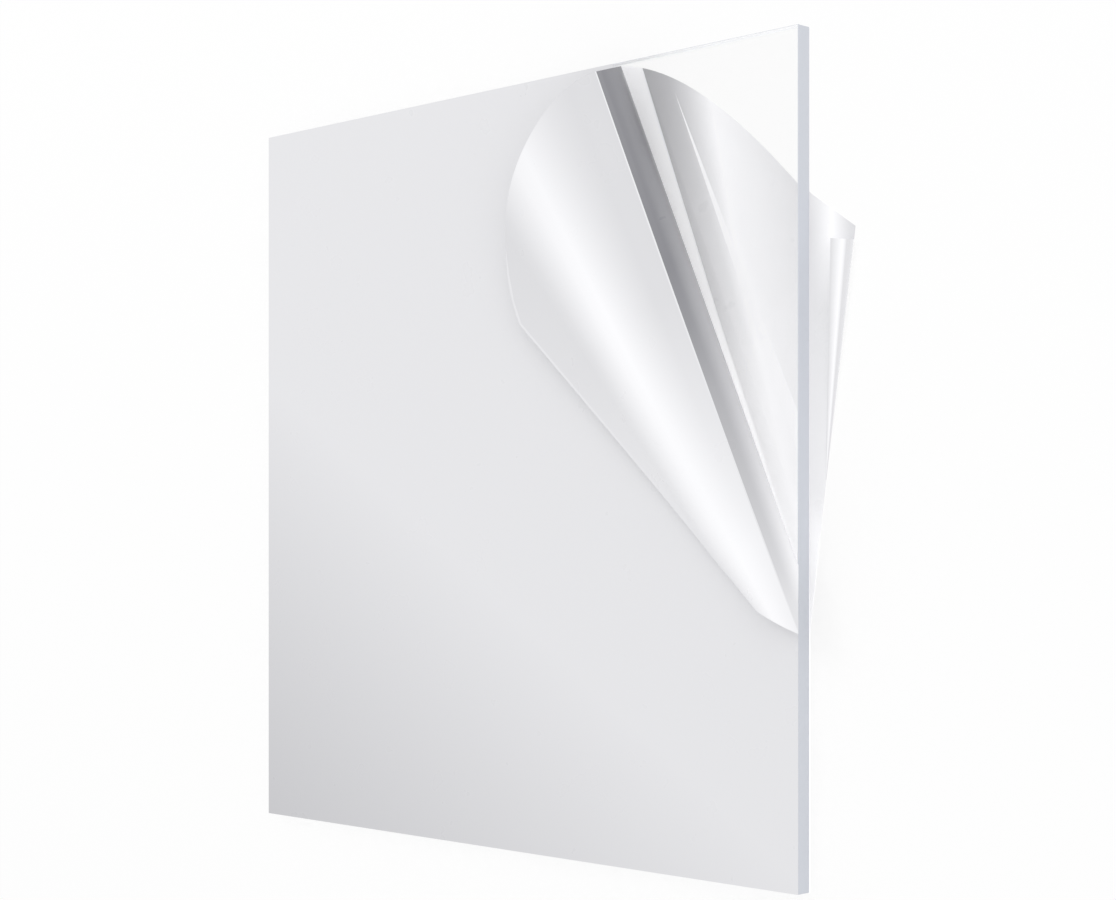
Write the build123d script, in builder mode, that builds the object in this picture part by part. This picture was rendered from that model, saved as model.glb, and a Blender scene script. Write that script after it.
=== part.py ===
from build123d import *
import os

# A square sheet of clear cast acrylic, lying flat between two protective films.
# The front film is peeled from one corner and curls back over itself. The back film has
# come loose at the same corner, and its tip lies out past the sheet's edge.
# The origin is the middle of the sheet's outline, on the floor under the back film.
# +Z is up, out of the front face, and the loose corner is at +X, +Y.

# The sheet
sheet_width = 304.8
sheet_length = 304.8
sheet_thickness = 6.35
edge_break = 0.2
film_thickness = 0.2

# The front film's peel line runs from the top edge to the right edge
peel_on_top = 89.8
peel_on_side = 195.2

# The front film's curl: a tight roll, a long arch, a flick back and a flat tail.
# This is its shape at the top end of the peel line.
roll_turn = 164.0
roll_radius = 6.4
arch_radius = 157.5
arch_turn = 30.0
flick_radius = 157.5
flick_turn = 12.0
flap_tail = 36.0

# Its shape low on the peel line, this far from the foot
low_distance = 31.6
low_roll_radius = 5.1
low_arch_radius = 38.0
low_arch_turn = 52.0
low_flick_radius = 14.0
low_flick_turn = 31.0
low_tail = 4.0

# Its shape past the sheet's right edge, this far beyond the foot
foot_beyond = 22.4
foot_roll_radius = 4.75
foot_arch_radius = 12.0
foot_arch_turn = 74.0
foot_flick_radius = 7.0
foot_flick_turn = 48.0
foot_tail = 1.0

# How the film's own edges lean where they are carried round the roll
top_lean = 23.0
side_lean = 38.9

# The front flap's free edges, seen from above and measured from the sheet's loose corner
flap_start = (-87.0, -5.0)
flap_shoulder = (-110.6, -20.1)
flap_side = (-131.7, -48.4)
flap_low_side = (-139.0, -73.0)
flap_corner = (-134.1, -96.6)
flap_heel = (-18.4, -205.5)
flap_toe = (-2.6, -212.0)
flap_tip = (8.5, -212.4)
flap_room = 12.0

# The back film's loose edge, measured from the same corner
back_bare_on_top = 92.0
back_edge_upper = (-61.9, -10.5)
back_edge_lower = (-27.7, -32.1)
back_edge_exit = (0.4, -58.5)
back_tip = (18.9, -72.0)
back_return = 214.0

# The narrow curl along the back film's tip
strip_radius = 1.6
strip_turn = 176.0
strip_width = 6.3
strip_length = 90.0
strip_foot_gap = 9.0

os.makedirs("parts", exist_ok=True)

half_width = sheet_width / 2
half_length = sheet_length / 2
back_face = film_thickness
front_face = back_face + sheet_thickness
corner = Vector(half_width, half_length)


def from_corner(place):
    """A point in plan, given from the sheet's loose corner."""
    return (corner.X + place[0], corner.Y + place[1])


def across(foot, head, distance, height):
    """The upright plane across the line from foot to head, at this distance from foot.
    Its X points to the right of that line and its Y points up."""
    along = (head - foot).normalized()
    origin = foot + along * distance
    return Plane(
        origin=(origin.X, origin.Y, height),
        x_dir=(along.Y, -along.X, 0),
        z_dir=(-along.X, -along.Y, 0),
    )


# Clear sheet, with its sawn edges just broken
with BuildPart() as acrylic_sheet:
    with BuildSketch(Plane.XY.offset(back_face)):
        Rectangle(sheet_width, sheet_length)
    extrude(amount=sheet_thickness)
    chamfer(acrylic_sheet.edges().filter_by(GeomType.LINE), edge_break)

# Front film: the peel line, and how far along it the top end lies
peel_foot = corner - Vector(0, peel_on_side)
peel_head = corner - Vector(peel_on_top, 0)
peel_length = (peel_head - peel_foot).length


def curl_section(distance, radius, arch_size, arch_bend, flick_size, flick_bend, tail):
    """The curled film cut across the peel line, at this distance from its foot."""
    with BuildSketch(across(peel_foot, peel_head, distance, front_face)) as section:
        with BuildLine():
            roll = JernArc((0, film_thickness), (1, 0), radius, roll_turn)
            arch = JernArc(roll @ 1, roll % 1, arch_size, arch_bend)
            flick = JernArc(arch @ 1, arch % 1, flick_size, -flick_bend)
            Line(flick @ 1, flick @ 1 + (flick % 1) * tail)
            offset(amount=film_thickness, side=Side.RIGHT)
        make_face()
    return section.sketch


with BuildPart() as front_masking_film:
    # The curl is drawn with straight lines from one shape to the next
    add(
        curl_section(
            peel_length + flap_room,
            roll_radius,
            arch_radius,
            arch_turn,
            flick_radius,
            flick_turn,
            flap_tail,
        )
    )
    add(
        curl_section(
            low_distance,
            low_roll_radius,
            low_arch_radius,
            low_arch_turn,
            low_flick_radius,
            low_flick_turn,
            low_tail,
        )
    )
    add(
        curl_section(
            -foot_beyond,
            foot_roll_radius,
            foot_arch_radius,
            foot_arch_turn,
            foot_flick_radius,
            foot_flick_turn,
            foot_tail,
        )
    )
    loft(ruled=True)
    # The film's top edge, carried round the roll, leans back as it rises
    top_end = Plane(
        origin=(peel_head.X, peel_head.Y, front_face),
        x_dir=(1, 0, 0),
        z_dir=Vector(0, 1, 0).rotate(Axis.X, top_lean),
    )
    split(bisect_by=top_end, keep=Keep.BOTTOM)
    # Its right edge leans out over the sheet's edge
    side_end = Plane(
        origin=(peel_foot.X, peel_foot.Y, front_face),
        x_dir=(0, 1, 0),
        z_dir=Vector(1, 0, 0).rotate(Axis.Y, side_lean),
    )
    split(bisect_by=side_end, keep=Keep.BOTTOM)
    # The flap's rounded side, its corner and its long straight edge
    with BuildSketch(Plane.XY.offset(front_face)):
        with BuildLine():
            side = Spline(
                from_corner(flap_start),
                from_corner(flap_shoulder),
                from_corner(flap_side),
                from_corner(flap_low_side),
                from_corner(flap_corner),
            )
            right = half_width + flap_room
            Polyline(
                side @ 1,
                from_corner(flap_heel),
                from_corner(flap_toe),
                from_corner(flap_tip),
                (right, corner.Y + flap_tip[1]),
                (right, half_length + flap_room),
                (corner.X + flap_start[0], half_length + flap_room),
                side @ 0,
            )
        make_face()
    extrude(amount=4 * flap_room, mode=Mode.INTERSECT)
    # The part of the film that still covers the sheet
    with BuildSketch(Plane.XY.offset(front_face)):
        with BuildLine():
            Polyline(
                (-half_width, -half_length),
                (half_width, -half_length),
                (peel_foot.X, peel_foot.Y),
                (peel_head.X, peel_head.Y),
                (-half_width, half_length),
                close=True,
            )
        make_face()
    extrude(amount=film_thickness)

# Back film: its tip's fold line runs down the loose side
fold_head = corner + Vector(*back_tip)
fold_end = corner - Vector(0, back_return)
fold_along = (fold_end - fold_head).normalized()
fold_foot = fold_head + fold_along * strip_length


def strip_section(distance):
    """The tip's narrow curl cut across its fold line. It all narrows towards the foot."""
    share = distance / strip_length
    with BuildSketch(across(fold_foot, fold_head, distance, 0)) as section:
        with BuildLine():
            roll = JernArc((0, film_thickness), (1, 0), strip_radius * share, strip_turn)
            Line(roll @ 1, roll @ 1 + (roll % 1) * strip_width * share)
            offset(amount=film_thickness, side=Side.RIGHT)
        make_face()
    return section.sketch


with BuildPart() as back_masking_film:
    add(strip_section(strip_length))
    add(strip_section(strip_foot_gap))
    loft(ruled=True)
    with BuildSketch():
        with BuildLine():
            loose = Spline(
                (half_width - back_bare_on_top, half_length),
                from_corner(back_edge_upper),
                from_corner(back_edge_lower),
                from_corner(back_edge_exit),
            )
            Polyline(
                loose @ 1,
                (fold_head.X, fold_head.Y),
                (fold_end.X, fold_end.Y),
                (half_width, -half_length),
                (-half_width, -half_length),
                (-half_width, half_length),
                loose @ 0,
            )
        make_face()
    extrude(amount=film_thickness)

acrylic_sheet.part.label = "acrylic_sheet"
front_masking_film.part.label = "front_masking_film"
back_masking_film.part.label = "back_masking_film"

export_step(acrylic_sheet.part, "parts/acrylic_sheet.step")
export_step(front_masking_film.part, "parts/front_masking_film.step")
export_step(back_masking_film.part, "parts/back_masking_film.step")
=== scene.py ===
# %% [markdown]
# # A clear acrylic sheet with its protective films
#
# The object is one square sheet of clear plastic. A thin silvery film protects each face.
# The front film is peeled from one corner and curls back over itself. The back film has
# come loose at the same corner, and its tip shows past the sheet's edge.
#
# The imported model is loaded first. The sheet's size and place come from it. The films repeat
# the sizes of their solids, and their tones are fitted to the picture.

# %% Load the frame
from math import cos, pi, radians, sin

import bmesh
import bpy
from mathutils import Matrix, Vector
from mathutils.geometry import interpolate_bezier


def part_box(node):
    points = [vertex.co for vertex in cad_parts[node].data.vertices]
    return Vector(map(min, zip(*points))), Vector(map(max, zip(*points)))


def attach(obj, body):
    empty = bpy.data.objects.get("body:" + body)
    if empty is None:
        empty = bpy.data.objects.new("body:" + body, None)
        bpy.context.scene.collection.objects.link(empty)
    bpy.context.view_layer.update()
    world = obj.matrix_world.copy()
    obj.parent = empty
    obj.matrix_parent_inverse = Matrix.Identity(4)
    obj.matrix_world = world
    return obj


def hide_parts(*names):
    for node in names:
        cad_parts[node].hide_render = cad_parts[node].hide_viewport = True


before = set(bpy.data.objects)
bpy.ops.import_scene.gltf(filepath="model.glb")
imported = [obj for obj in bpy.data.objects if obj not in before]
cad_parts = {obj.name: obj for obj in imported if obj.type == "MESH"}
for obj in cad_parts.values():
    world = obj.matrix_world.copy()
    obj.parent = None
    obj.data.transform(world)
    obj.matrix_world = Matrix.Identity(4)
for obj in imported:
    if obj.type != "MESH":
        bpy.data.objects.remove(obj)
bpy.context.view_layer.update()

# %% [markdown]
# ## The sizes that everything hangs on
#
# The sheet's own box gives its outline and its two faces. The back film fills the space from
# the floor up to the sheet, so that height is also the thickness of a film. Blender works in
# metres, so the sizes in millimetres are multiplied by `MM`.

# %% Sizes from the frame
MM = 0.001

sheet_low, sheet_high = (Vector(corner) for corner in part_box("acrylic_sheet"))
film_thickness = sheet_low.z
front_face = sheet_high.z
loose_corner = Vector((sheet_high.x, sheet_high.y, front_face))
sheet_width = sheet_high.x - sheet_low.x

print("Sheet, mm:", [round(side / MM, 2) for side in sheet_high - sheet_low])
print("Film, mm:", round(film_thickness / MM, 2))

# %% [markdown]
# ## The camera
#
# The picture was solved for its lens from the vanishing points of the sheet's edges. The
# camera looks down on the lying sheet from its right-hand side, and it is rolled so that the
# sheet's +Y edge points up in the picture. Building the camera's matrix from its three
# directions is exact, where a chain of rotations would be guesswork. The small shift puts
# the horizon of the picture's own lens below the middle, as it is there.

# %% Camera
PICTURE_WIDTH = 1116
LENS_PIXELS = 2131
LENS_CENTRE_BELOW = 80.6
CAMERA_TURN = 45.27
CAMERA_PLACE = Vector((623.0 * MM, -24.9 * MM, front_face + 584.5 * MM))


def photo_camera():
    """The camera at the picture's own viewing angle."""
    data = bpy.data.cameras.new("camera")
    data.sensor_width = 36
    data.lens = data.sensor_width * LENS_PIXELS / PICTURE_WIDTH
    data.shift_y = LENS_CENTRE_BELOW / PICTURE_WIDTH
    data.clip_start = 0.01
    data.clip_end = 50
    turn = radians(CAMERA_TURN)
    right = Vector((cos(turn), 0, -sin(turn)))
    back = Vector((sin(turn), 0, cos(turn)))
    camera = bpy.data.objects.new("camera", data)
    axes = Matrix((right, Vector((0, 1, 0)), back)).transposed()
    camera.matrix_world = Matrix.Translation(CAMERA_PLACE) @ axes.to_4x4()
    bpy.context.scene.collection.objects.link(camera)
    bpy.context.scene.camera = camera
    return camera


camera = photo_camera()
print("Lens, mm:", round(camera.data.lens, 2))

# %% [markdown]
# ## Small helpers for materials
#
# A material is a graph of nodes. These helpers add a node, fill its inputs and link it, so
# that each material below reads like a recipe. A value is either a number, a colour or the
# output of another node.

# %% Node helpers
def new_material(name):
    """An empty material with its tree and its output node."""
    material = bpy.data.materials.new(name)
    material.use_nodes = True
    material.node_tree.nodes.clear()
    return material, material.node_tree


def node(tree, kind, inputs=None, **settings):
    """Adds a node. Inputs are given by name or number, as values or as sockets to link."""
    made = tree.nodes.new(kind)
    for name, value in settings.items():
        setattr(made, name, value)
    for key, value in (inputs or {}).items():
        if isinstance(value, bpy.types.NodeSocket):
            tree.links.new(value, made.inputs[key])
        else:
            made.inputs[key].default_value = value
    return made


def socket(sockets, identifier):
    """The socket with this identifier. A Mix node has several sockets of the same name."""
    return next(found for found in sockets if found.identifier == identifier)


def calc(tree, operation, *values):
    """The result of a Math node."""
    inputs = {place: value for place, value in enumerate(values)}
    return node(tree, "ShaderNodeMath", inputs, operation=operation).outputs[0]


def fade(tree, value, start, end):
    """0 at start and 1 at end, with soft shoulders."""
    inputs = {"Value": value, "From Min": start, "From Max": end}
    made = node(tree, "ShaderNodeMapRange", inputs, interpolation_type="SMOOTHSTEP")
    return made.outputs["Result"]


def slope(tree, value, start, end, first, last):
    """A number that goes straight from first to last while value goes from start to end, and
    stays level before and after."""
    inputs = {"Value": value, "From Min": start, "From Max": end, "To Min": first, "To Max": last}
    return node(tree, "ShaderNodeMapRange", inputs).outputs["Result"]


def mix(tree, share, first, second):
    """A number between first and second."""
    made = node(tree, "ShaderNodeMix", data_type="FLOAT")
    for place, value in (("Factor_Float", share), ("A_Float", first), ("B_Float", second)):
        target = socket(made.inputs, place)
        if isinstance(value, bpy.types.NodeSocket):
            tree.links.new(value, target)
        else:
            target.default_value = value
    return made.outputs[0]


def tones(tree, value, stops):
    """A ramp of brightness. Stops are (position, brightness), from 0 to 1."""
    ramp = node(tree, "ShaderNodeValToRGB", {"Fac": value})
    elements = ramp.color_ramp.elements
    for element, (position, level) in zip(elements, (stops[0], stops[-1])):
        element.position = position
        element.color = (level, level, level, 1)
    for position, level in stops[1:-1]:
        elements.new(position).color = (level, level, level, 1)
    return ramp.outputs["Color"]


# %% [markdown]
# ## Floor, world and lamps
#
# The floor is nearly white and stands for nothing. Where the eye sees it, also in a shiny
# surface or through the clear one, most of it is a white glow, so the sheet's soft shadow on
# it stays faint. Matt surfaces get none of that glow. The world lights everything evenly, and
# it is white where the eye sees it in the same ways. Two large soft lamps give the curled
# film its shape.

# %% Kinds of rays
def seen_directly(tree):
    """1 for rays from the camera, from a mirror or through clear plastic."""
    path = node(tree, "ShaderNodeLightPath")
    glossy = calc(tree, "MAXIMUM", path.outputs["Is Camera Ray"], path.outputs["Is Glossy Ray"])
    return calc(tree, "MAXIMUM", glossy, path.outputs["Is Transmission Ray"])


def soft_light(tree):
    """1 for shadow rays and for light that goes from one matt surface to another."""
    path = node(tree, "ShaderNodeLightPath")
    return calc(tree, "MAXIMUM", path.outputs["Is Shadow Ray"], path.outputs["Is Diffuse Ray"])


# %% Floor
FLOOR_COLOUR = 0.96
FLOOR_GLOW = 0.73
FLOOR_SIZE = 30.0


def floor_material():
    """Matt and nearly white, and mostly a white glow where the eye sees it."""
    material, tree = new_material("pale floor")
    share = calc(tree, "MULTIPLY", seen_directly(tree), FLOOR_GLOW)
    matt = node(tree, "ShaderNodeBsdfDiffuse", {"Color": (*[FLOOR_COLOUR] * 3, 1)})
    glow = node(tree, "ShaderNodeEmission", {"Strength": 1.0})
    both = node(tree, "ShaderNodeMixShader", {0: share, 1: matt.outputs[0], 2: glow.outputs[0]})
    node(tree, "ShaderNodeOutputMaterial", {"Surface": both.outputs[0]})
    return material


def new_object(name, mesh):
    """An object for this mesh, linked to the scene."""
    made = bpy.data.objects.new(name, mesh)
    bpy.context.scene.collection.objects.link(made)
    return made


def make_floor():
    """A flat square under the sheet."""
    bm = bmesh.new()
    bmesh.ops.create_grid(bm, x_segments=1, y_segments=1, size=FLOOR_SIZE / 2)
    mesh = bpy.data.meshes.new("floor")
    bm.to_mesh(mesh)
    bm.free()
    mesh.materials.append(floor_material())
    floor = new_object("floor", mesh)


make_floor()
print("Floor, m:", FLOOR_SIZE)

# %% World
WORLD_LEVEL = 0.84


def make_world():
    """An even light all round, which is white where the eye sees it."""
    world = bpy.data.worlds.new("studio")
    world.use_nodes = True
    tree = world.node_tree
    tree.nodes.clear()
    lit = node(tree, "ShaderNodeBackground", {"Color": (1, 1, 1, 1), "Strength": WORLD_LEVEL})
    seen = node(tree, "ShaderNodeBackground", {"Color": (1, 1, 1, 1), "Strength": 1.0})
    mixed = node(tree, "ShaderNodeMixShader", {
        0: seen_directly(tree), 1: lit.outputs[0], 2: seen.outputs[0]})
    node(tree, "ShaderNodeOutputWorld", {"Surface": mixed.outputs[0]})
    bpy.context.scene.world = world


make_world()
bpy.context.scene.view_settings.view_transform = "Standard"
print("World level:", WORLD_LEVEL)

# %% Lamps
def soft_lamp(name, place, size, watts):
    """A square lamp that faces the middle of the sheet."""
    data = bpy.data.lights.new(name, "AREA")
    data.shape = "SQUARE"
    data.size = size
    data.energy = watts
    lamp = bpy.data.objects.new(name, data)
    lamp.location = place
    lamp.rotation_euler = (-Vector(place)).to_track_quat("-Z", "Y").to_euler()
    bpy.context.scene.collection.objects.link(lamp)
    return lamp


lamps = [
    soft_lamp("key lamp", place=(-0.6, 1.3, 1.9), size=1.2, watts=10),
    soft_lamp("side lamp", place=(1.6, 0.4, 1.1), size=0.9, watts=3),
]
print("Lamps, W:", [lamp.data.energy for lamp in lamps])

# %% [markdown]
# ## The film's curl
#
# Peeled film bends along straight lines. Its shape is therefore drawn three times, as a cut
# across the peel line: at the top end, low on the sheet, and just past the sheet's right
# edge. One vertex is spun through a tight roll, a long arch and a short flick back, and ends
# in a flat tail. The three chains of edges that it leaves have the same number of vertices,
# so bridging them gives the straight lines of the film. A cloth simulation would also curl,
# but it couldn't be made to follow the picture this closely.
#
# Each vertex remembers its stage: 0 to 1 round the roll, 1 to 2 over the arch, 2 to 3 through the
# flick and 3 to 4 along the tail. A flat stretch has a stage below 0. The materials use that
# number, so that painted highlights and painted shade follow the bend of the film.
#
# The sizes are the solid's own, with the roll's radius taken at the middle of the film. Only
# its top end is cut a little lower here and leans less, which follows the picture better.

# %% Curl sizes
PEEL_ON_TOP = 89.8 * MM
PEEL_ON_SIDE = 195.2 * MM
ROLL_TURN = 164
TOP_LEAN = 17
TOP_DROP = 1.5 * MM
SIDE_LEAN = 38.9
CURL_ROOM = 12

film_middle = film_thickness / 2
peel_head = loose_corner - Vector((PEEL_ON_TOP, 0, 0))
peel_foot = loose_corner - Vector((0, PEEL_ON_SIDE, 0))
peel_length = (peel_head - peel_foot).length
print("Peel line, mm:", round(peel_length / MM, 1))

# Distance along the peel line, then the roll, the arch, the flick and the tail. Lengths are
# in mm and turns in degrees.
FLAP_SHAPES = [
    (peel_length / MM + CURL_ROOM, 6.5, (157.5, 30), (157.5, 12), 36),
    (31.6, 5.2, (38, 52), (14, 31), 4),
    (-22.4, 4.85, (12, 74), (7, 48), 1),
]
ROLL_STEPS = 40
ARCH_STEPS = 24
FLICK_STEPS = 12
TAIL_STEPS = 4
LINE_CUTS = 30

# %% Spinning a chain of arcs
UP = Vector((0, 0, 1))
FLAT_STAGE = -1


class Chain:
    """A chain of edges that is spun arc by arc, in the upright plane across a fold line."""

    def __init__(self, bm, stage, start, along):
        self.bm = bm
        self.stage = stage
        self.along = along
        self.right = along.cross(UP)
        self.heading = 0.0
        self.done = 0
        self.last = bm.verts.new(start)
        self.last[stage] = 0
        self.verts = [self.last]

    def direction(self, quarter_turns=0):
        """The way that the chain heads, or a quarter turn from it."""
        angle = self.heading + quarter_turns * pi / 2
        return self.right * cos(angle) + UP * sin(angle)

    def keep(self, made):
        """Numbers the new vertices with their stage, and goes on from the last."""
        for step, vertex in enumerate(made, start=1):
            vertex[self.stage] = self.done + step / len(made)
        self.done += 1
        self.last = made[-1]
        self.verts += made

    def arc(self, radius, degrees, steps):
        """Spins the last vertex. A positive turn bends up and back over the start."""
        centre = self.last.co + self.direction(1 if degrees > 0 else -1) * radius
        count = len(self.bm.verts)
        bmesh.ops.spin(self.bm, geom=[self.last], cent=centre, axis=-self.along,
                       angle=radians(degrees), steps=steps)
        self.bm.verts.ensure_lookup_table()
        self.heading += radians(degrees)
        self.keep(self.bm.verts[count:])

    def tail(self, length, steps):
        """A straight end."""
        made = []
        for step in range(steps):
            vertex = bmesh.ops.extrude_vert_indiv(self.bm, verts=[self.last])["verts"][0]
            vertex.co += self.direction() * length / steps
            self.last = vertex
            made.append(vertex)
        self.keep(made)

    def edges(self):
        """The chain's own edges."""
        mine = set(self.verts)
        return [edge for edge in self.bm.edges if mine.issuperset(edge.verts)]


# %% Joining the chains
def draw_out(bm, stage, chains):
    """Joins each chain to the next with straight lines, and divides all those lines."""
    for first, second in zip(chains, chains[1:]):
        bmesh.ops.bridge_loops(bm, edges=[*first.edges(), *second.edges()])
    lines = [edge for edge in bm.edges if edge.verts[0][stage] == edge.verts[1][stage]]
    bmesh.ops.subdivide_edges(bm, edges=lines, cuts=LINE_CUTS, use_grid_fill=True)


# %% [markdown]
# ## Cutting the flap to its outline
#
# The flap's free edge is cut the way a knife would: by one upright plane after another, each
# touching the outline. The outline bulges everywhere, so no cut takes too much.

# %% Cutting
CUT_TOLERANCE = 1e-7


def slice_off(bm, place, outward, parts=None):
    """Cuts with a plane and drops what lies beyond it."""
    geometry = parts or [*bm.verts, *bm.edges, *bm.faces]
    bmesh.ops.bisect_plane(
        bm, geom=geometry, plane_co=place, plane_no=outward, dist=CUT_TOLERANCE,
        clear_outer=True)


def slice_outline(bm, points, chosen):
    """Cuts along an outline that runs anticlockwise when seen from above."""
    for first, second in zip(points, points[1:]):
        outward = (second - first).cross(UP).normalized()
        faces = [face for face in bm.faces if chosen(face)]
        edges = {edge for face in faces for edge in face.edges}
        verts = {vertex for face in faces for vertex in face.verts}
        slice_off(bm, first, outward, [*verts, *edges, *faces])


def from_corner(x, y):
    """A place given in millimetres from the sheet's loose corner, on its front face."""
    return loose_corner + Vector((x, y, 0)) * MM


# %% Film finishing
SHARP_ANGLE = 50


def film_object(name, bm):
    """Gives the film its thickness and makes an object of it."""
    bmesh.ops.recalc_face_normals(bm, faces=bm.faces)
    sheet = bpy.data.meshes.new(name + "_surface")
    bm.to_mesh(sheet)
    bm.free()
    rough = new_object(name + "_surface", sheet)
    wall = rough.modifiers.new("wall", "SOLIDIFY")
    wall.thickness = film_thickness
    wall.offset = 0
    solid = rough.evaluated_get(bpy.context.evaluated_depsgraph_get())
    mesh = bpy.data.meshes.new_from_object(solid)
    mesh.name = name
    bpy.data.objects.remove(rough)
    mesh.shade_smooth()
    mesh.set_sharp_from_angle(angle=radians(SHARP_ANGLE))
    return new_object(name, mesh)


# %% [markdown]
# ## The front film
#
# Two stretches make this film: the part that still covers the sheet, which is a square with
# one corner cut off, and the curl that grows out of the cut. The curl's outline is a smooth
# curve of three pieces, each with a handle at either end, and then the film's long edge.

# %% Outline of the flap
FLAP_START = (-86.8, -5.0)
FLAP_SHOULDER = (-122.9, -33.8)
FLAP_SIDE = (-139.0, -76.7)
FLAP_CORNER = (-134.1, -96.6)
FLAP_KNEE = (-32.8, -190.5)
FLAP_HEEL = (-14.1, -205.4)
FLAP_TIP = (8.5, -213.0)

# Each smooth piece of the outline: its two handles, its end and its number of points
FLAP_CURVES = [
    ((-101.4, -8.9), (-113.8, -21.9), FLAP_SHOULDER, 14),
    ((-132.0, -45.7), (-139.0, -61.7), FLAP_SIDE, 12),
    ((-139.0, -84.0), (-136.8, -91.0), FLAP_CORNER, 8),
]


def flap_outline():
    """The flap's free edge in plan, from the roll's top to the foot of the peel line."""
    start = FLAP_START
    points = [from_corner(*start)]
    for leaving, arriving, end, count in FLAP_CURVES:
        knots = [from_corner(*place) for place in (start, leaving, arriving, end)]
        points += interpolate_bezier(*knots, count)[1:]
        start = end
    return points + [from_corner(*place) for place in (FLAP_KNEE, FLAP_HEEL, FLAP_TIP)]


# %% Front film
# Only what has turned over this far is cut to the outline
CUT_FROM_STAGE = 0.6


def front_film():
    """The front film as one piece."""
    along = (peel_head - peel_foot).normalized()
    bm = bmesh.new()
    stage = bm.verts.layers.float.new("stage")
    chains = []
    for distance, roll, arch, flick, tail in FLAP_SHAPES:
        start = peel_foot + along * distance * MM + UP * film_middle
        chain = Chain(bm, stage, start, along)
        chain.arc(roll * MM, ROLL_TURN, ROLL_STEPS)
        chain.arc(arch[0] * MM, arch[1], ARCH_STEPS)
        chain.arc(flick[0] * MM, -flick[1], FLICK_STEPS)
        chain.tail(tail * MM, TAIL_STEPS)
        chains.append(chain)
    draw_out(bm, stage, chains)
    top, side = radians(TOP_LEAN), radians(SIDE_LEAN)
    slice_off(bm, peel_head - Vector((0, TOP_DROP, 0)), Vector((0, cos(top), sin(top))))
    slice_off(bm, peel_foot, Vector((cos(side), 0, -sin(side))))
    slice_outline(bm, flap_outline(), lambda face: min(
        vertex[stage] for vertex in face.verts) > CUT_FROM_STAGE)
    cover = bmesh.ops.create_grid(
        bm, x_segments=1, y_segments=1, size=sheet_width / 2,
        matrix=Matrix.Translation((0, 0, front_face + film_middle)))["verts"]
    for vertex in cover:
        vertex[stage] = FLAT_STAGE
    faces = {face for vertex in cover for face in vertex.link_faces}
    edges = {edge for vertex in cover for edge in vertex.link_edges}
    slice_off(bm, peel_head, along.cross(UP), [*cover, *edges, *faces])
    return film_object("front_film", bm)


front = front_film()
print("Front film faces:", len(front.data.polygons))

# %% [markdown]
# ## The back film
#
# The back film lies flat on the floor under the sheet. Its loose edge is one smooth curve
# under the bare acrylic, and its tip comes out past the sheet's edge, where a narrow strip
# has curled up. The flat part is a single many-sided face, because nothing in it bends.

# %% Sizes of the back film
BACK_BARE_ON_TOP = 92.0
BACK_HANDLES = ((-14.5, -44.0), (-52.0, -4.0))
BACK_POINTS = 30
BACK_EXIT = (0.4, -58.5)
BACK_TIP = (18.9, -72.0)
BACK_RETURN = 214.0

# The flat film reaches a little past the strip's fold line, out to this point
BACK_POINT = (20.0, -72.0)

# The narrow strip curls up along the fold line. It starts a gap below the tip, and it gets
# smaller towards its foot
STRIP_RADIUS = 1.6 * MM
STRIP_TURN = 176
STRIP_WIDTH = 6.3 * MM
STRIP_GAP = 4.7 * MM
STRIP_LENGTH = 85.3 * MM
STRIP_FOOT_SHARE = 0.02
STRIP_STEPS = 24
STRIP_TAIL_STEPS = 6


# %% The strip's fold line
def on_floor(x, y):
    """A place in millimetres from the loose corner, in the middle of the back film."""
    place = from_corner(x, y)
    place.z = film_middle
    return place


fold_end = on_floor(0, -BACK_RETURN)
fold_along = (on_floor(*BACK_TIP) - fold_end).normalized()
fold_head = on_floor(*BACK_TIP) - fold_along * STRIP_GAP
print("Strip, mm:", STRIP_LENGTH / MM)


# %% Outline of the back film
def back_outline():
    """The back film's flat outline in plan, anticlockwise."""
    knots = [on_floor(*place) for place in (BACK_EXIT, *BACK_HANDLES, (-BACK_BARE_ON_TOP, 0))]
    loose = interpolate_bezier(*knots, BACK_POINTS)
    corners = [
        Vector((sheet_low.x, sheet_high.y, film_middle)),
        Vector((sheet_low.x, sheet_low.y, film_middle)),
        Vector((sheet_high.x, sheet_low.y, film_middle)),
        fold_end,
        fold_head,
        fold_head + on_floor(*BACK_POINT) - on_floor(*BACK_TIP),
        on_floor(*BACK_POINT),
    ]
    return [*loose, *corners]


# %% Back film
def back_film():
    """The back film as one piece."""
    bm = bmesh.new()
    stage = bm.verts.layers.float.new("stage")
    chains = []
    for share in (1, STRIP_FOOT_SHARE):
        start = fold_head - fold_along * STRIP_LENGTH * (1 - share)
        chain = Chain(bm, stage, start, fold_along)
        chain.arc((STRIP_RADIUS + film_middle) * share, STRIP_TURN, STRIP_STEPS)
        chain.tail(STRIP_WIDTH * share, STRIP_TAIL_STEPS)
        chains.append(chain)
    draw_out(bm, stage, chains)
    flat = [bm.verts.new(place) for place in back_outline()]
    for vertex in flat:
        vertex[stage] = FLAT_STAGE
    bmesh.ops.contextual_create(bm, geom=flat)
    return film_object("back_film", bm)


back = back_film()
print("Back film faces:", len(back.data.polygons))

# %% [markdown]
# ## The film's finish
#
# Masking film is thin polyethylene: smooth, slightly silvery, and shiny where it bends. Its
# colour is nearly even on the flat. On the curl, a painted highlight and painted shade run along
# the bend: a painted bright band over the arch, and a painted dark side where the roll turns
# over. They come from the number that each vertex remembers, so they stay on the film from every
# side.

# %% Ripples
RIPPLE_SCALE = 60.0
GRAIN_SCALE = 900.0
GRAIN_SHARE = 0.1
BUMP_STRENGTH = 0.05
BUMP_DEPTH = 0.6 * MM


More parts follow.
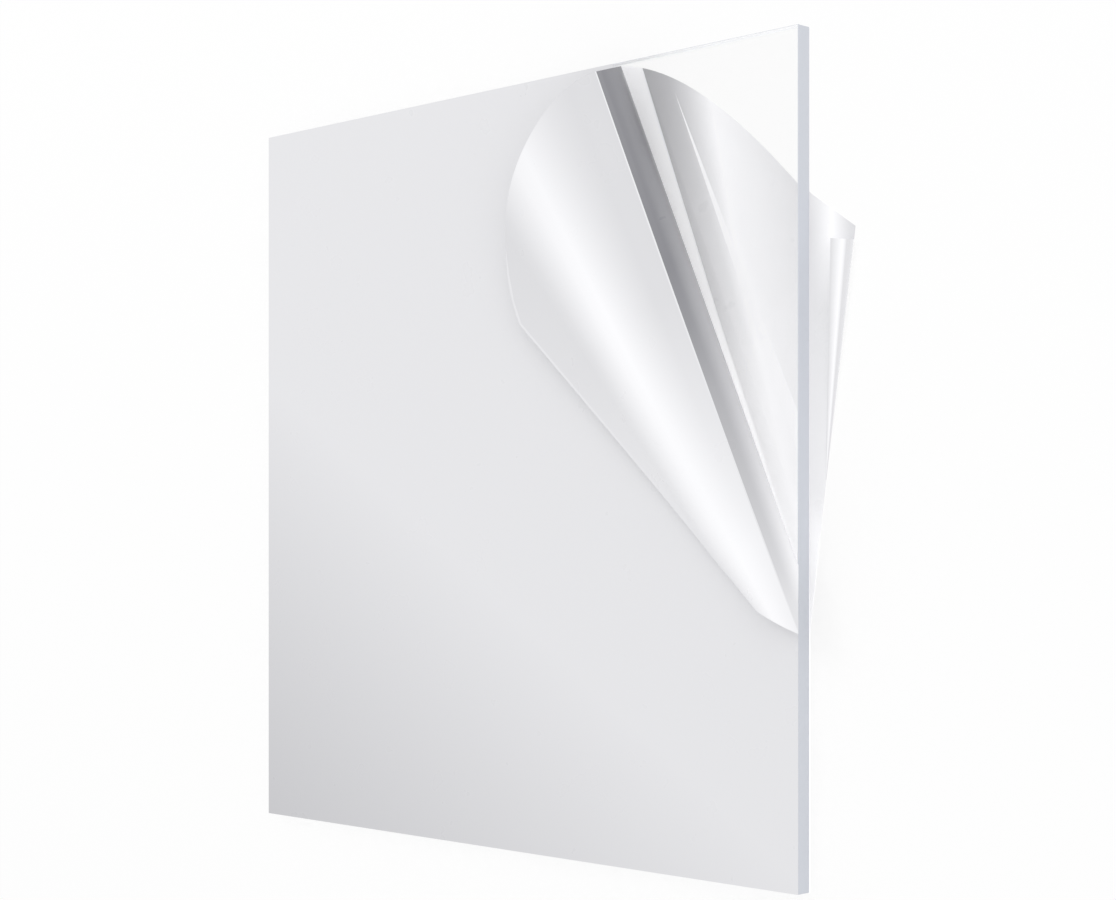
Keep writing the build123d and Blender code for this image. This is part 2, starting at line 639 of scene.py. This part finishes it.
def film_bump(tree, place):
    """Very fine ripples, as in any film that came off a roll."""
    ripple = node(tree, "ShaderNodeTexNoise", {
        "Vector": place, "Scale": RIPPLE_SCALE, "Detail": 3.0, "Roughness": 0.5})
    grain = node(tree, "ShaderNodeTexNoise", {
        "Vector": place, "Scale": GRAIN_SCALE, "Detail": 2.0})
    height = calc(tree, "ADD", ripple.outputs["Fac"], calc(
        tree, "MULTIPLY", grain.outputs["Fac"], GRAIN_SHARE))
    bump = node(tree, "ShaderNodeBump", {
        "Strength": BUMP_STRENGTH, "Distance": BUMP_DEPTH, "Height": height})
    return bump.outputs["Normal"], ripple.outputs["Fac"]


# %% Film shader
FILM_BLUE = 0.02
SCREEN_GAMMA = 2.2
FILM_IOR = 1.5
FILM_SHINE = 0.4
FILM_ROUGHNESS = 0.24
ROUGHNESS_RANGE = 0.1


def film_shader(tree, brightness, place, thinness, glow=None):
    """The shiny plastic that both films share. Brightness is as the eye sees it, so it is turned
    into the share of light that comes back, with a trace of blue. Thinness is how much soft light
    the film lets through to what lies behind it, and glow is a painted glow, light that the film
    gives off though it is no lamp."""
    level = calc(tree, "POWER", brightness, SCREEN_GAMMA)
    blue = calc(tree, "ADD", level, FILM_BLUE)
    colour = node(tree, "ShaderNodeCombineColor", {0: level, 1: level, 2: blue})
    normal, ripple = film_bump(tree, place)
    roughness = calc(tree, "ADD", FILM_ROUGHNESS, calc(
        tree, "MULTIPLY", ripple, ROUGHNESS_RANGE))
    inputs = {
        "Base Color": colour.outputs[0], "Roughness": roughness, "Normal": normal,
        "IOR": FILM_IOR, "Specular IOR Level": FILM_SHINE}
    if glow:
        inputs |= {"Emission Color": (1, 1, 1, 1), "Emission Strength": glow}
    shader = node(tree, "ShaderNodeBsdfPrincipled", inputs)
    passed = node(tree, "ShaderNodeBsdfTransparent")
    through = calc(tree, "MULTIPLY", soft_light(tree), thinness)
    whole = node(tree, "ShaderNodeMixShader", {
        0: through, 1: shader.outputs[0], 2: passed.outputs[0]})
    node(tree, "ShaderNodeOutputMaterial", {"Surface": whole.outputs[0]})


# %% Places on the films
def places_in_mm(tree, place):
    """How far a point lies right of the sheet's loose corner and below it, in mm."""
    x, y = node(tree, "ShaderNodeSeparateXYZ", {0: place}).outputs[:2]
    right = calc(tree, "DIVIDE", calc(tree, "SUBTRACT", x, loose_corner.x), MM)
    below = calc(tree, "DIVIDE", calc(tree, "SUBTRACT", loose_corner.y, y), MM)
    return right, below


# %% [markdown]
# ## The front film's painted shade and highlights
#
# The roll has a painted shade: dark at its top end and lighter towards the foot, faster on its
# right. The flap has one painted highlight, a bright band along the arch. Both keep to a stage of
# the curl, so one ramp gives the head of the flap and another its foot, and the place along the
# peel line mixes them. A thin painted highlight marks the flap's cut edge, and a painted shade
# makes the part that still covers the sheet a little darker towards its lower left corner.

# %% Tones of the roll
# Brightness is as the eye sees it. Four numbers are a slope: where it starts and ends, in
# mm along the peel line or in stages, and its values at those two.
# The roll's painted shade: a dark left side, lighter towards the foot, and a lighter right side
ROLL_LEFT = (125, -8, 0.545, 0.86)
ROLL_FOOT = (5, -15, 0.0, 0.025)
ROLL_RIGHT = (175, 0, 0.58, 1.0)

# The stages between which the roll's right side goes over into its left
ROLL_SIDES = (0.5, 0.97)

# The left side is a little darker near the ridge, at the roll's upper half
RIDGE_SHADE = (75, 100, 0.0, 0.04)
RIDGE_SHADE_STAGES = (0.8, 1.0, 0.0, 1.0)


def roll_painted_shade(tree, stage, along):
    """The painted shade on the roll's dark side, lighter towards the foot."""
    left = calc(tree, "ADD", slope(tree, along, *ROLL_LEFT), slope(tree, along, *ROLL_FOOT))
    darker = calc(tree, "MULTIPLY", slope(tree, stage, *RIDGE_SHADE_STAGES), slope(
        tree, along, *RIDGE_SHADE))
    left = calc(tree, "SUBTRACT", left, darker)
    right = slope(tree, along, *ROLL_RIGHT)
    return mix(tree, fade(tree, stage, *ROLL_SIDES), right, left)


# %% Tones of the flap
# Ramps over the flap's three stages, at its head and at its foot. Their bright band is a painted
# highlight.
FLAP_STAGES = 3.0
FLAP_HEAD = [
    (0.0, 0.84), (0.06, 0.855), (0.11, 0.905), (0.167, 0.965), (0.193, 0.99),
    (0.223, 0.98), (0.25, 0.95), (0.305, 0.89), (0.333, 0.875), (1.0, 0.872)]
FLAP_FOOT = [
    (0.0, 0.93), (0.03, 0.945), (0.11, 0.98), (0.167, 1.0), (0.223, 0.985),
    (0.277, 0.965), (0.333, 0.94), (0.5, 0.925), (1.0, 0.905)]

# Slopes along the peel line: the head dims towards its end, and goes over into the foot
FLAP_DIM = (120, 215, 1.0, 0.97)
HEAD_TO_FOOT = (115, 16, 0, 1)


def flap_painted_highlight(tree, stage, along):
    """The painted highlight, a bright band over the arch, and the plain flat tail."""
    share = calc(tree, "DIVIDE", calc(tree, "SUBTRACT", stage, 1.0), FLAP_STAGES)
    head = calc(tree, "MULTIPLY", tones(tree, share, FLAP_HEAD), slope(tree, along, *FLAP_DIM))
    foot = tones(tree, share, FLAP_FOOT)
    return mix(tree, slope(tree, along, *HEAD_TO_FOOT), head, foot)


# %% Rim of the flap
RIM_HIGHLIGHT = 0.905
RIM_WIDTH = 1.0
RIM_POINTS = [(-139.0, -61.7), FLAP_SIDE, (-137.6, -87.3), FLAP_CORNER, FLAP_KNEE]


def rim_painted_highlight(tree, right, below, flap):
    """A painted highlight where the cut edge of the flap catches the light: a thin line just
    inside its outline.
    """
    nearest = RIM_WIDTH * 2
    for (x, y), end in zip(RIM_POINTS, RIM_POINTS[1:]):
        run = (Vector(end) - Vector((x, y))).normalized()
        inward = calc(tree, "ADD", calc(
            tree, "MULTIPLY", calc(tree, "SUBTRACT", right, x), -run.y), calc(
            tree, "MULTIPLY", calc(tree, "ADD", below, y), -run.x))
        nearest = calc(tree, "MINIMUM", nearest, inward)
    on_rim = calc(tree, "LESS_THAN", nearest, RIM_WIDTH)
    return mix(tree, on_rim, flap, calc(tree, "MAXIMUM", flap, RIM_HIGHLIGHT))


# %% Front film material
# The stage where the roll's painted shade ends, and the stage and brightness of a thin painted
# highlight past it
RIDGE = (215, 0, 1.008, 1.052)
RIDGE_HIGHLIGHT_END = (215, 0, 1.014, 1.07)
RIDGE_HIGHLIGHT = 0.9

# The painted shade on the part that covers the sheet runs along a slanting line
COVER_LEAN = -0.62
COVER_SHADE = (300, 520, 0.893, 0.755)

# How much soft light goes through one layer that lies flat, and through the curled flap
FLAT_THINNESS = 0.85
FLAP_THINNESS = 0.15


def film_material_front():
    """Silvery film with a painted soft shade across one corner, and painted highlights and
    painted shade on the curl.
    """
    material, tree = new_material("silvery masking film")
    place = node(tree, "ShaderNodeTexCoord").outputs["Object"]
    right, below = places_in_mm(tree, place)
    stage = node(tree, "ShaderNodeAttribute", attribute_name="stage").outputs["Fac"]
    head = (peel_head - peel_foot).normalized()
    along = calc(tree, "ADD", calc(tree, "MULTIPLY", right, head.x), calc(
        tree, "MULTIPLY", calc(tree, "SUBTRACT", PEEL_ON_SIDE / MM, below), head.y))
    diagonal = calc(tree, "ADD", calc(tree, "MULTIPLY", right, COVER_LEAN), below)
    cover = slope(tree, diagonal, *COVER_SHADE)
    roll = roll_painted_shade(tree, stage, along)
    flap = rim_painted_highlight(tree, right, below, flap_painted_highlight(tree, stage, along))
    after_highlight = calc(tree, "GREATER_THAN", stage, slope(tree, along, *RIDGE_HIGHLIGHT_END))
    after_ridge = calc(tree, "GREATER_THAN", stage, slope(tree, along, *RIDGE))
    curled = mix(tree, after_ridge, roll, mix(tree, after_highlight, RIDGE_HIGHLIGHT, flap))
    brightness = mix(tree, calc(tree, "GREATER_THAN", stage, 0.0), cover, curled)
    thinness = mix(tree, calc(tree, "GREATER_THAN", stage, 1.0), FLAT_THINNESS, FLAP_THINNESS)
    film_shader(tree, brightness, place, thinness)
    return material


front.data.materials.clear()
front.data.materials.append(film_material_front())
print("Front film:", front.data.materials[0].name)

# %% [markdown]
# ## The back film's painted shade and highlights
#
# Seen through the acrylic, the back film is plain up to a sharp crease. It lies flat, and past
# the crease a painted shade stands in for its bend away from the sheet: it turns dark, and then
# lighter again towards the right. A thin white painted glint runs down that bend. The glint is a
# straight line in plan, and so is the crease, apart from a slight turn low down. Past the sheet's
# edge a painted highlight, a soft band of light, runs down to the narrow strip. A painted glow
# gives the film a little light of its own.

# %% Crease and glint
# A line is its place at the sheet's top edge and its lean to the right for each mm below it.
CREASE = (-78.8, 0.39)
GLINT = (-68.25, 0.481)

# The painted glint starts this far below the top edge, and widens by this much for each mm
GLINT_START = 14.2
GLINT_WIDENS = 0.052
GLINT_BRIGHTNESS = 0.98

# The crease leans a little more from this far down
CREASE_TURN_BELOW = 100.0
CREASE_TURN = 0.03


def falling(tree, value, start, fall):
    """A straight line: start, less fall for each step of value."""
    return calc(tree, "SUBTRACT", start, calc(tree, "MULTIPLY", value, fall))


def past_line(tree, right, below, at_top, lean):
    """How far a point lies to the right of a line that leans right as it goes down."""
    return falling(tree, below, calc(tree, "SUBTRACT", right, at_top), lean)


def on_painted_glint(tree, right, below):
    """1 on the thin painted glint, which widens as it goes down and ends at the sheet's edge."""
    past = past_line(tree, right, below, *GLINT)
    width = calc(tree, "MULTIPLY", calc(tree, "SUBTRACT", below, GLINT_START), GLINT_WIDENS)
    before = calc(tree, "LESS_THAN", calc(tree, "MAXIMUM", past, right), 0.0)
    after = calc(tree, "GREATER_THAN", calc(tree, "ADD", past, width), 0.0)
    return calc(tree, "MULTIPLY", before, after)


# %% Film past the crease
# Two numbers are a start and its loss for each mm. Slopes on the back film go by the mm
# below the sheet's top edge, right of the sheet or past the crease.
# The painted shade of the bend past the crease
DARK_UPPER = (0.509, -0.0033)
DARK_LOWER = (0.555, -0.0026)
RISE_UPPER = (31.0, 0.18)
RISE_LOWER = (27.0, 0.12)
LEAST_RISE = 7.0
CREST = (60, 95, 0.98, 1.0)
CREST_FALL = 0.0055
FAR_FALL = (0.98, 0.0034)


def loose_painted_shade(tree, crease, below, outside):
    """Painted shade of the bend: dark at the crease, then lighter, and slowly darker again."""
    dark = calc(tree, "MINIMUM", falling(tree, below, *DARK_UPPER),
                falling(tree, below, *DARK_LOWER))
    width = calc(tree, "MAXIMUM", falling(tree, below, *RISE_UPPER),
                 falling(tree, below, *RISE_LOWER))
    width = calc(tree, "MAXIMUM", width, LEAST_RISE)
    rise = calc(tree, "MINIMUM", 1.0, calc(tree, "DIVIDE", crease, width))
    rise = calc(tree, "MAXIMUM", rise, outside)
    beyond = calc(tree, "MAXIMUM", 0.0, calc(tree, "SUBTRACT", crease, width))
    crest = slope(tree, below, *CREST)
    peak = calc(tree, "MAXIMUM", falling(tree, beyond, crest, CREST_FALL),
                falling(tree, beyond, *FAR_FALL))
    return mix(tree, rise, dark, peak)


# %% Film past the sheet's edge
# Painted shade near the sheet's edge lower down and in the corner past the band, and a painted
# highlight band
SIDE_SHADE_START = (62, 72, 0.0, 1.0)
SIDE_SHADE = (0, 9.5, -0.03, 0.0)
BAND_ACROSS = (0, 9.5, 0.0, 1.0)
BAND_DOWN = (74, 100, 0.14, 0.0)
CORNER_SHADE = (10, 18, 0.0, -0.11)

# The most brightness that the film has below the strip
LIMIT_START = (128, 142, 1.0, 0.93)
LIMIT_RISE = (142, 205, 0.0, 0.055)


def tip_painted_light_and_shade(tree, right, below, outside):
    """Outside the sheet a painted highlight, a soft light band, runs down to the strip, and a
    painted shade darkens the corner beyond the band."""
    low = calc(tree, "MULTIPLY", outside, slope(tree, below, *SIDE_SHADE_START))
    shade = calc(tree, "MULTIPLY", low, slope(tree, right, *SIDE_SHADE))
    band = calc(tree, "MULTIPLY", slope(tree, right, *BAND_ACROSS), slope(
        tree, below, *BAND_DOWN))
    corner = slope(tree, right, *CORNER_SHADE)
    return calc(tree, "ADD", calc(tree, "ADD", shade, band), corner)


def outside_limit(tree, below, outside):
    """Below the strip the film outside the sheet is a plain light grey, which goes over into
    white. Elsewhere there is no limit."""
    limit = calc(tree, "ADD", slope(tree, below, *LIMIT_START), slope(tree, below, *LIMIT_RISE))
    return mix(tree, outside, 1.0, limit)


# %% Tones of the narrow strip
STRIP_STAGES = 2.0
STRIP_TONES = [
    (0.0, 0.9), (0.2, 0.9), (0.3, 0.885), (0.38, 0.86), (0.45, 0.852), (0.5, 0.917),
    (0.57, 0.965), (0.63, 0.968), (0.72, 0.937), (0.8, 0.908), (0.88, 0.882),
    (0.96, 0.845), (1.0, 0.845)]


def strip_painted_shade_and_highlight(tree, stage):
    """Painted shade and a painted highlight on the narrow curl along the tip: shaded at both
    sides and bright along its middle.
    """
    return tones(tree, calc(tree, "DIVIDE", stage, STRIP_STAGES), STRIP_TONES)


# %% Painted glow
# Slopes across start at the crease, and slopes down start at the top edge
# A painted glow: the back film gives off light of its own, though it is no lamp
PAINTED_GLOW_BASE = 0.06
ROLL_GLOW_ACROSS = (-3, 10, 1.0, 0.0)
ROLL_GLOW_DOWN = (20, 110, 0.12, 0.23)
WEDGE_GLOW_ACROSS = (-1, 0, 1.0, 0.0)
WEDGE_GLOW_DOWN = (110, 165, 0.08, 0.115)
LOW_GLOW_ACROSS = (0, 20, 1.0, 0.0)
LOW_GLOW_DOWN = (95, 130, 0.0, 0.10)
SIDE_GLOW = (165, 190, 0.0, 0.16)
SIDE_PAINTED_GLOW = 0.22


def painted_glow(tree, crease, below, outside):
    """A painted glow, light that the film gives off though it is no lamp. The eye sees it
    strongest beside the front film's roll. The pieces around it get it only from the film past
    the sheet's edge."""
    near_roll = calc(tree, "MULTIPLY", slope(tree, crease, *ROLL_GLOW_ACROSS), slope(
        tree, below, *ROLL_GLOW_DOWN))
    wedge = calc(tree, "MULTIPLY", slope(tree, crease, *WEDGE_GLOW_ACROSS), slope(
        tree, below, *WEDGE_GLOW_DOWN))
    low = calc(tree, "MULTIPLY", slope(tree, crease, *LOW_GLOW_ACROSS), slope(
        tree, below, *LOW_GLOW_DOWN))
    under_sheet = calc(tree, "ADD", near_roll, calc(tree, "ADD", wedge, low))
    beside_sheet = slope(tree, below, *SIDE_GLOW)
    seen = calc(tree, "ADD", PAINTED_GLOW_BASE, mix(tree, outside, under_sheet, beside_sheet))
    painted_side_glow = calc(tree, "MULTIPLY", outside, SIDE_PAINTED_GLOW)
    return mix(tree, seen_directly(tree), painted_side_glow, seen)


# %% Back film material
# Up to the crease the film gets lighter with each mm below the top edge
PLAIN = (0.86, -0.0014)


def film_material_back():
    """The same film, lying flat, with painted shade for a sharp crease and a soft bend, and a
    thin painted glint.
    """
    material, tree = new_material("loose masking film")
    place = node(tree, "ShaderNodeTexCoord").outputs["Object"]
    right, below = places_in_mm(tree, place)
    turned = calc(tree, "MAXIMUM", 0.0, calc(tree, "SUBTRACT", below, CREASE_TURN_BELOW))
    crease = falling(tree, turned, past_line(tree, right, below, *CREASE), CREASE_TURN)
    plain = calc(tree, "MINIMUM", 1.0, falling(tree, below, *PLAIN))
    outside = calc(tree, "GREATER_THAN", right, 0.0)
    loose = calc(tree, "ADD", loose_painted_shade(tree, crease, below, outside),
                 tip_painted_light_and_shade(tree, right, below, outside))
    loose = calc(tree, "MINIMUM", loose, outside_limit(tree, below, outside))
    lit = mix(tree, on_painted_glint(tree, right, below), loose, GLINT_BRIGHTNESS)
    past_crease = calc(tree, "MAXIMUM", calc(tree, "GREATER_THAN", crease, 0.0), outside)
    flat = mix(tree, past_crease, plain, lit)
    stage = node(tree, "ShaderNodeAttribute", attribute_name="stage").outputs["Fac"]
    curled = strip_painted_shade_and_highlight(tree, stage)
    brightness = mix(tree, calc(tree, "GREATER_THAN", stage, 0.0), flat, curled)
    glow = painted_glow(tree, crease, below, outside)
    film_shader(tree, brightness, place, thinness=0.0, glow=glow)
    return material


back.data.materials.clear()
back.data.materials.append(film_material_back())
print("Back film:", back.data.materials[0].name)

# %% [markdown]
# ## Clear acrylic
#
# Acrylic bends light a little less than glass does. Its polished faces are perfectly clear, and
# its edge looks blue-grey, because there the eye looks through the whole sheet. The inside of the
# edge has a painted glow. The solid's own mesh already has the right shape, so it only gets this
# finish.

# %% Acrylic material
ACRYLIC_IOR = 1.49
CLEAR_COLOUR = (0.97, 0.97, 0.97, 1)
EDGE_OUTSIDE = (0.63, 0.655, 0.71, 1)
EDGE_INSIDE = (0.93, 0.94, 0.96, 1)
EDGE_DEPTH = 0.205 * MM
EDGE_ROUGHNESS = 0.25
# A painted glow on the inside of the edge, though it is no lamp
EDGE_PAINTED_GLOW = 0.12


def acrylic_material():
    """Clear plastic whose shadow stays light, with a blue-grey edge that has a painted glow on
    its inside.
    """
    material, tree = new_material("clear cast acrylic")
    place = node(tree, "ShaderNodeTexCoord").outputs["Object"]
    x, y = node(tree, "ShaderNodeSeparateXYZ", {0: place}).outputs[:2]
    across = calc(tree, "GREATER_THAN", calc(tree, "ABSOLUTE", x), sheet_high.x - EDGE_DEPTH)
    down = calc(tree, "GREATER_THAN", calc(tree, "ABSOLUTE", y), sheet_high.y - EDGE_DEPTH)
    edge = calc(tree, "MAXIMUM", across, down)
    clear = node(tree, "ShaderNodeBsdfPrincipled", {
        "Base Color": CLEAR_COLOUR, "Roughness": 0.0, "IOR": ACRYLIC_IOR,
        "Transmission Weight": 1.0})
    side = node(tree, "ShaderNodeNewGeometry").outputs["Backfacing"]
    colours = node(tree, "ShaderNodeMix", data_type="RGBA")
    for name, value in (("A_Color", EDGE_OUTSIDE), ("B_Color", EDGE_INSIDE)):
        socket(colours.inputs, name).default_value = value
    tree.links.new(side, colours.inputs["Factor"])
    sawn = node(tree, "ShaderNodeBsdfPrincipled", {
        "Base Color": socket(colours.outputs, "Result_Color"),
        "Roughness": EDGE_ROUGHNESS, "IOR": ACRYLIC_IOR, "Emission Color": EDGE_INSIDE,
        "Emission Strength": calc(tree, "MULTIPLY", side, EDGE_PAINTED_GLOW)})
    body = node(tree, "ShaderNodeMixShader", {0: edge, 1: clear.outputs[0], 2: sawn.outputs[0]})
    through = node(tree, "ShaderNodeBsdfTransparent", {"Color": (1, 1, 1, 1)})
    whole = node(tree, "ShaderNodeMixShader", {
        0: soft_light(tree), 1: body.outputs[0], 2: through.outputs[0]})
    node(tree, "ShaderNodeOutputMaterial", {"Surface": whole.outputs[0]})
    return material


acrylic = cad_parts["acrylic_sheet"]
acrylic.data.materials.clear()
acrylic.data.materials.append(acrylic_material())
print("Sheet:", acrylic.data.materials[0].name)

# %% [markdown]
# ## What each piece stands for
#
# Both films replace their plain solids, which are hidden, and hang on the root body.

for piece, solid in ((front, "front_masking_film"), (back, "back_masking_film")):
    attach(piece, "root")
    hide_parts(solid)
    print(piece.name, "stands for", solid)
